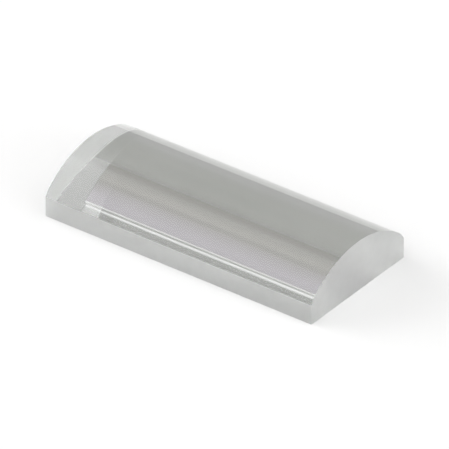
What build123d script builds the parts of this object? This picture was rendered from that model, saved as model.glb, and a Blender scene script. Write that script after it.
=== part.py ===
from build123d import *
import os

# Rectangular plano-convex cylindrical lens, ground and polished from one block of optical glass.
# Millimetres, +Z up. The flat polished face lies on Z = 0 and the origin is its centre.
# The curve has no power along X: its section in the YZ plane is the same over the whole length.

# Driving dimensions
lens_length = 53.8  # along X, the straight direction
lens_width = 25.0  # along Y, the direction that is curved
centre_thickness = 9.37  # flat face to the top of the curve
edge_thickness = 3.74  # flat face to the foot of the long bevel, the height of the ground side
bevel_width = 0.80  # the bevel along each long edge of the curved face, measured across, in Y
bevel_drop = 1.11  # the same bevel, measured down, in Z
edge_break = 0.10  # hairline chamfer that takes the sharpness off every other edge

# Corners of the section, in Y and Z
half_width = lens_width / 2
curve_edge_y = half_width - bevel_width
curve_edge_z = edge_thickness + bevel_drop

with BuildPart() as lens:
    # The section stands on the plane of one end face: a true arc between the two bevels,
    # the two upright sides and the flat face.
    with BuildSketch(Plane.YZ.offset(-lens_length / 2)):
        with BuildLine():
            curve = ThreePointArc(
                (-curve_edge_y, curve_edge_z),
                (0, centre_thickness),
                (curve_edge_y, curve_edge_z),
            )
            Polyline(
                curve @ 1,
                (half_width, edge_thickness),
                (half_width, 0),
                (-half_width, 0),
                (-half_width, edge_thickness),
                curve @ 0,
            )
        make_face()
    extrude(amount=lens_length)

    # The outline of both end faces and the two long edges of the flat face are broken.
    # The long bevels stay as they are, with crisp lines towards the curve and the sides.
    end_faces = lens.faces().filter_by(Axis.X)
    flat_face = lens.faces().sort_by(Axis.Z)[0]
    end_outlines = end_faces.edges()
    flat_long_edges = flat_face.edges().filter_by(Axis.X)
    chamfer(end_outlines + flat_long_edges, length=edge_break)

lens.part.label = "lens"

os.makedirs("parts", exist_ok=True)
export_step(lens.part, "parts/lens.step")
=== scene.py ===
from math import radians

import bpy
import numpy as np
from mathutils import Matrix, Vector


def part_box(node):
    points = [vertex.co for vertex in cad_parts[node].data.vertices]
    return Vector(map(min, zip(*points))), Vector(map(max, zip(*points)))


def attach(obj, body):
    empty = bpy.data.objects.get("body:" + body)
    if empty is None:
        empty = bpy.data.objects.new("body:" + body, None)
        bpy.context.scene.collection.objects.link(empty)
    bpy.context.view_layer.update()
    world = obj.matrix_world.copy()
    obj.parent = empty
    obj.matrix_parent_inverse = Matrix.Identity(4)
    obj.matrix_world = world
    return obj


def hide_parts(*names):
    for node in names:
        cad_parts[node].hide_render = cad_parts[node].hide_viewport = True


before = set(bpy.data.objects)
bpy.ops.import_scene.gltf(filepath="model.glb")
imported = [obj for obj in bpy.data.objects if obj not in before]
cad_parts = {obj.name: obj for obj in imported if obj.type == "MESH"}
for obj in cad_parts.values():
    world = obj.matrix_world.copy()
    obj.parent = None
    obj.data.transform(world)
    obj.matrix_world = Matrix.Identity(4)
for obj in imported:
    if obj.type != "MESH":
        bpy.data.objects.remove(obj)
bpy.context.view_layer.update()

# A plano-convex cylindrical lens: one block of optical glass, polished on its curve, its long bevels and
# its flat face, ground on its sides and ends. Metres, +Z up, X along the straight direction of the curve.

millimetre = 0.001


# Adds a node with its own settings, the values of its sockets, and the sockets that feed it.
def addNode(tree, kind, settings=None, values=None, links=None):
    node = tree.nodes.new(kind)
    for name, value in (settings or {}).items():
        setattr(node, name, value)
    for name, value in (values or {}).items():
        node.inputs[name].default_value = value
    for name, source in (links or {}).items():
        tree.links.new(source, node.inputs[name])
    return node


# sRGB hex to linear: a twelfth and a bit near black, above that a power of 2.4.
def linear(hexColour):
    channels = [int(hexColour[i:i + 2], 16) / 255 for i in (1, 3, 5)]
    return [c / 12.92 if c < 0.04045 else ((c + 0.055) / 1.055) ** 2.4 for c in channels] + [1.0]


def emptyMaterial(name):
    material = bpy.data.materials.new(name)
    material.use_nodes = True
    material.node_tree.nodes.clear()
    return material, material.node_tree, addNode(material.node_tree, "ShaderNodeOutputMaterial")


# Gives a colour ramp its stops, each a position from 0 to 1 and a hex colour.
def setStops(ramp, stops):
    for i, (position, colour) in enumerate(stops):
        stop = ramp.elements[i] if i < 2 else ramp.elements.new(position)
        stop.position = position
        stop.color = linear(colour)


lensShape = {
    "edgeThickness": 3.74 * millimetre,  # flat face to the foot of the long bevel
    "bevelWidth": 0.80 * millimetre,  # long bevel beside the curve, across
    "bevelDrop": 1.11 * millimetre,  # and down
    "edgeBreak": 0.10 * millimetre,  # hairline chamfer round the ends and the flat face
    "arcSteps": 256,  # fine enough that refraction shows no facets
    "lengthSteps": 16,
    "sharpAngle": radians(6),  # every real edge turns by more, every step of the arc by less
}


# The section, anticlockwise seen from +X, as points (y, z) and a flag for each edge that is ground.
# The curve is the circle through both bevel tops and the crown: its radius is
# (half chord squared + rise squared) / (2 x rise), and a point at angle t stands at
# y = radius x sin t, z = centre height + radius x cos t.
def lensSection(halfWidth, crown, shape):
    side, foot = shape["edgeBreak"], shape["edgeThickness"]
    chord = halfWidth - shape["bevelWidth"]
    top = foot + shape["bevelDrop"]
    rise = crown - top
    radius = (chord ** 2 + rise ** 2) / (2 * rise)
    reach = np.arcsin(chord / radius)
    t = np.linspace(reach, -reach, shape["arcSteps"] + 1)
    curve = np.column_stack([radius * np.sin(t), crown - radius + radius * np.cos(t)])
    right = [(halfWidth - side, 0), (halfWidth, side), (halfWidth, foot)]
    left = [(-halfWidth, foot), (-halfWidth, side), (-halfWidth + side, 0)]
    points = np.vstack([right, curve, left])
    polished = [False, False, True] + [True] * shape["arcSteps"] + [True, False, False, True]
    return points, ~np.array(polished)


# The section moved inwards: each edge slides along its normal by the inset, and each corner is where
# its two moved edges cross.
def insetSection(points, inset):
    along = np.roll(points, -1, axis=0) - points
    outward = np.column_stack([along[:, 1], -along[:, 0]]) / np.linalg.norm(along, axis=1)[:, None]
    offset = (outward * points).sum(axis=1) - inset
    before, offsetBefore = np.roll(outward, 1, axis=0), np.roll(offset, 1)
    cross = before[:, 0] * outward[:, 1] - before[:, 1] * outward[:, 0]
    y = (offsetBefore * outward[:, 1] - offset * before[:, 1]) / cross
    z = (before[:, 0] * offset - outward[:, 0] * offsetBefore) / cross
    return np.column_stack([y, z])


# The lens as the section carried along X: full rings between the two ends, and one ring inset by the
# edge break at each end, closed by a flat face.
def buildLens(name, low, high, shape, materials):
    section, ground = lensSection(high.y, high.z, shape)
    broken = insetSection(section, shape["edgeBreak"])
    inner = np.linspace(low.x + shape["edgeBreak"], high.x - shape["edgeBreak"], shape["lengthSteps"] + 1)
    stations = np.concatenate([[low.x], inner, [high.x]])
    rings = np.stack([broken] + [section] * len(inner) + [broken])
    x = np.broadcast_to(stations[:, None, None], rings.shape[:2] + (1,))
    vertices = np.concatenate([x, rings], axis=2).reshape(-1, 3)

    ringCount, pointCount = rings.shape[:2]
    index = np.arange(ringCount * pointCount).reshape(ringCount, pointCount)
    after = np.roll(index, -1, axis=1)
    quads = np.stack([index[:-1], after[:-1], after[1:], index[1:]], axis=2).reshape(-1, 4)
    ends = [index[0, ::-1].tolist(), index[-1].tolist()]
    finish = np.tile(ground.astype(np.int32), (ringCount - 1, 1))  # 0 polished, 1 long side, 2 end
    finish[[0, -1]] = 2  # the broken edges of both ends

    mesh = bpy.data.meshes.new(name)
    mesh.from_pydata(vertices.tolist(), [], quads.tolist() + ends)
    for material in materials:
        mesh.materials.append(material)
    slots = np.concatenate([finish.reshape(-1), [2, 2]]).astype(np.int32)
    mesh.polygons.foreach_set("material_index", slots)
    mesh.polygons.foreach_set("use_smooth", np.ones(len(slots), dtype=bool))
    mesh.set_sharp_from_angle(angle=shape["sharpAngle"])
    mesh.update()
    lens = bpy.data.objects.new(name, mesh)
    bpy.context.collection.objects.link(lens)
    return lens


glassFinish = {
    "ior": 1.57,  # guessed: it puts the edge of the total reflection where the photograph has it
    "body": ["#fdfefd", "#fafcfa"],  # almost colourless, with the faintest grey streaks
    "streakAcross": 2.5 * millimetre,
    "streakAlong": 20 * millimetre,
    # the long sides are painted greyer than the ends: painted shade on one and the same ground finish
    "sideShadedTone": ["#e2e3e2", "#dedfde"],  # evenly ground, and where the grit cut a little deeper
    "endTone": ["#edeeed", "#e9eae9"],
    "toneSize": 1.6 * millimetre,
    "gritSize": 0.35 * millimetre,  # real grit leaves pits of 0.03 mm, drawn this coarse to show
    "gritDepth": 0.004 * millimetre,
    "groundRoughness": 0.9,
    "groundClear": 0.75,  # the rest of the light is scattered white
    "noiseSpan": (0.35, 0.65),  # nearly all values of the noise lie between these
}


# Optical glass, melted, pressed and then lapped and polished: perfectly clear and smooth, it bends and
# mirrors what stands round it, with barely visible streaks drawn along the block.
def polishedGlass(finish):
    material, tree, output = emptyMaterial("optical_glass_polished")
    place = addNode(tree, "ShaderNodeTexCoord")
    drawn = addNode(tree, "ShaderNodeMapping", links={"Vector": place.outputs["Object"]})
    across, along = 1 / finish["streakAcross"], 1 / finish["streakAlong"]
    drawn.inputs["Scale"].default_value = (along, across, across)
    streaks = addNode(tree, "ShaderNodeTexNoise", values={"Scale": 1.0, "Detail": 2.0},
                      links={"Vector": drawn.outputs["Vector"]})
    body = addNode(tree, "ShaderNodeValToRGB", links={"Fac": streaks.outputs["Fac"]})
    setStops(body.color_ramp, zip(finish["noiseSpan"], finish["body"]))
    glass = addNode(tree, "ShaderNodeBsdfPrincipled", values={
        "Roughness": 0.0, "IOR": finish["ior"], "Transmission Weight": 1.0,
    }, links={"Base Color": body.outputs["Color"]})
    tree.links.new(glass.outputs["BSDF"], output.inputs["Surface"])
    return material


# The same glass as it leaves fine grinding with loose grit: an even silky white grey with a fine grain,
# which lets light through but no picture. The long sides are painted a little greyer than the ends: painted
# shade, as both are ground alike.
def groundGlass(name, tones, finish):
    material, tree, output = emptyMaterial(name)
    place = addNode(tree, "ShaderNodeTexCoord")
    cloud = addNode(tree, "ShaderNodeTexNoise", values={"Scale": 1 / finish["toneSize"], "Detail": 3.0},
                    links={"Vector": place.outputs["Object"]})
    tone = addNode(tree, "ShaderNodeValToRGB", links={"Fac": cloud.outputs["Fac"]})
    setStops(tone.color_ramp, zip(finish["noiseSpan"], tones))
    grit = addNode(tree, "ShaderNodeTexNoise", values={"Scale": 1 / finish["gritSize"], "Detail": 2.0},
                   links={"Vector": place.outputs["Object"]})
    pits = addNode(tree, "ShaderNodeBump", values={"Strength": 1.0, "Distance": finish["gritDepth"]},
                   links={"Height": grit.outputs["Fac"]})
    glass = addNode(tree, "ShaderNodeBsdfPrincipled", values={
        "Roughness": finish["groundRoughness"], "IOR": finish["ior"],
        "Transmission Weight": finish["groundClear"],
    }, links={"Base Color": tone.outputs["Color"], "Normal": pits.outputs["Normal"]})
    tree.links.new(glass.outputs["BSDF"], output.inputs["Surface"])
    return material


low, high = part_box("lens")
finishes = [
    polishedGlass(glassFinish),
    # the long sides take the darker tone: painted shade
    groundGlass("optical_glass_ground_side", glassFinish["sideShadedTone"], glassFinish),
    groundGlass("optical_glass_ground_end", glassFinish["endTone"], glassFinish),
]
lens = buildLens("cylindrical_lens", low, high, lensShape, finishes)
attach(lens, "root")
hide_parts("lens")
print("lens built,", len(lens.data.polygons), "faces")


studio = {
    "floorSize": 6.0,
    "floorGap": 0.02 * millimetre,  # below the flat face
    "floorWhite": "#ffffff",
    "surround": "#ffffff",
    "wallAzimuth": radians(114),  # a grey wall stands behind, seen by every kind of ray
    "wallCore": radians(40),  # its half width, and where it has faded to white
    "wallReach": radians(52),
    "wallTones": [  # elevation on the wall in degrees, and its colour there
        (0, "#c0bbc1"),  # lilac grey
        (13, "#bdb9be"),
        (23.5, "#b0adad"),
        (25, "#a8a6a3"),  # a crease
        (27, "#a8a6a3"),
        (28.5, "#b0aeaa"),
        (38.5, "#9c9b98"),  # taupe grey
        (72, "#bcbbb9"),
        (90, "#ffffff"),
    ],
    "windows": [  # soft light let in at both ends: azimuth and elevation, width, gain above plain white
        {"towards": (radians(-167), radians(12)), "core": radians(8), "reach": radians(38), "gain": 2.7},
        {"towards": (radians(-4), radians(0)), "core": radians(8), "reach": radians(38), "gain": 1.8},
    ],
}


# A flat matt sheet round the origin, a little below the flat face of the lens.
def laySheet(name, materialName, colour, halfLength, halfWidth, gap):
    material, tree, output = emptyMaterial(materialName)
    matt = addNode(tree, "ShaderNodeBsdfDiffuse", values={"Color": linear(colour)})
    tree.links.new(matt.outputs["BSDF"], output.inputs["Surface"])
    x, y, z = halfLength, halfWidth, -gap
    mesh = bpy.data.meshes.new(name)
    mesh.from_pydata([(-x, -y, z), (x, -y, z), (x, y, z), (-x, y, z)], [], [(0, 1, 2, 3)])
    mesh.materials.append(material)
    sheet = bpy.data.objects.new(name, mesh)
    bpy.context.collection.objects.link(sheet)


# The studio round the lens, the same for every kind of ray: white, with a grey wall on one side whose
# tone follows the sine of the elevation, and brighter towards each window. A window's glow falls
# smoothly from its core to its reach, as the cosine of the angle to its middle does.
def buildWorld(look):
    world = bpy.data.worlds.new("studio")
    world.use_nodes = True
    tree = world.node_tree
    tree.nodes.clear()
    direction = addNode(tree, "ShaderNodeTexCoord")
    glows = []
    for window in look["windows"]:
        a, e = window["towards"]
        facing = addNode(tree, "ShaderNodeVectorMath", {"operation": "DOT_PRODUCT"},
                         links={0: direction.outputs["Generated"]})
        facing.inputs[1].default_value = (np.cos(a) * np.cos(e), np.sin(a) * np.cos(e), np.sin(e))
        glow = addNode(tree, "ShaderNodeMapRange", {"interpolation_type": "SMOOTHSTEP"}, {
            "From Min": np.cos(window["reach"]), "From Max": np.cos(window["core"]), "To Max": window["gain"],
        }, {"Value": facing.outputs["Value"]})
        glows.append(glow.outputs["Result"])
    both = addNode(tree, "ShaderNodeMath", {"operation": "ADD"}, links={0: glows[0], 1: glows[1]})
    level = addNode(tree, "ShaderNodeMath", {"operation": "ADD"}, {1: 1.0}, {0: both.outputs["Value"]})
    parts = addNode(tree, "ShaderNodeSeparateXYZ", links={"Vector": direction.outputs["Generated"]})
    around = addNode(tree, "ShaderNodeMath", {"operation": "ARCTAN2"},
                     links={0: parts.outputs["Y"], 1: parts.outputs["X"]})
    aside = addNode(tree, "ShaderNodeMath", {"operation": "SUBTRACT"}, {1: look["wallAzimuth"]},
                    {0: around.outputs["Value"]})
    off = addNode(tree, "ShaderNodeMath", {"operation": "ABSOLUTE"}, links={0: aside.outputs["Value"]})
    wall = addNode(tree, "ShaderNodeMapRange", {"interpolation_type": "SMOOTHSTEP"}, {
        "From Min": look["wallReach"], "From Max": look["wallCore"],
    }, {"Value": off.outputs["Value"]})
    tone = addNode(tree, "ShaderNodeValToRGB", links={"Fac": parts.outputs["Z"]})
    setStops(tone.color_ramp, [(np.sin(radians(e)), colour) for e, colour in look["wallTones"]])
    paint = addNode(tree, "ShaderNodeMixRGB", values={"Color1": linear(look["surround"])},
                    links={"Fac": wall.outputs["Result"], "Color2": tone.outputs["Color"]})
    sky = addNode(tree, "ShaderNodeBackground",
                  links={"Color": paint.outputs["Color"], "Strength": level.outputs["Value"]})
    output = addNode(tree, "ShaderNodeOutputWorld")
    tree.links.new(sky.outputs["Background"], output.inputs["Surface"])
    bpy.context.scene.world = world


# A grey sheet under the lens, wholly covered by its flat face: painted shade for the shade under the block.
# Like the floor and the studio it is there for every kind of ray, so the clear block shows it through its
# faces.
shadeSlip = {
    "inset": 0.15 * millimetre,  # inside the broken edges of the flat face
    "gap": 0.01 * millimetre,  # below the flat face
    "tone": "#d4d4d2",
}

cameraView = {
    "azimuth": radians(37.0),
    "elevation": radians(32.5),
    "distance": 1.57,
    "frameWidth": 72.64 * millimetre,  # what the picture is wide, at the lens
    "aimRight": 0.07 * millimetre,  # the middle of the picture, from the origin, across and up
    "aimUp": 1.98 * millimetre,
}


# The camera looks from azimuth and elevation at the aim point, with the long lens whose field is
# frameWidth wide at that distance.
def buildCamera(look):
    a, e = look["azimuth"], look["elevation"]
    back = Vector((np.sin(a) * np.cos(e), -np.cos(a) * np.cos(e), np.sin(e)))
    right = Vector((np.cos(a), np.sin(a), 0))
    up = back.cross(right)
    data = bpy.data.cameras.new("camera")
    data.lens = data.sensor_width * look["distance"] / look["frameWidth"]
    camera = bpy.data.objects.new("camera", data)
    camera.location = right * look["aimRight"] + up * look["aimUp"] + back * look["distance"]
    camera.rotation_mode = "QUATERNION"
    camera.rotation_quaternion = (-back).to_track_quat("-Z", "Y")
    bpy.context.collection.objects.link(camera)
    bpy.context.scene.camera = camera


reach = studio["floorSize"] / 2
laySheet("floor", "matt_white_floor", studio["floorWhite"], reach, reach, studio["floorGap"])
# the grey slip under the lens is painted shade
slipLength, slipWidth = high.x - shadeSlip["inset"], high.y - shadeSlip["inset"]  # half of each
laySheet("painted_shade_slip", "painted_shade_sheet", shadeSlip["tone"], slipLength, slipWidth, shadeSlip["gap"])
buildWorld(studio)
buildCamera(cameraView)
bpy.context.scene.view_settings.view_transform = "Standard"
print("studio built")
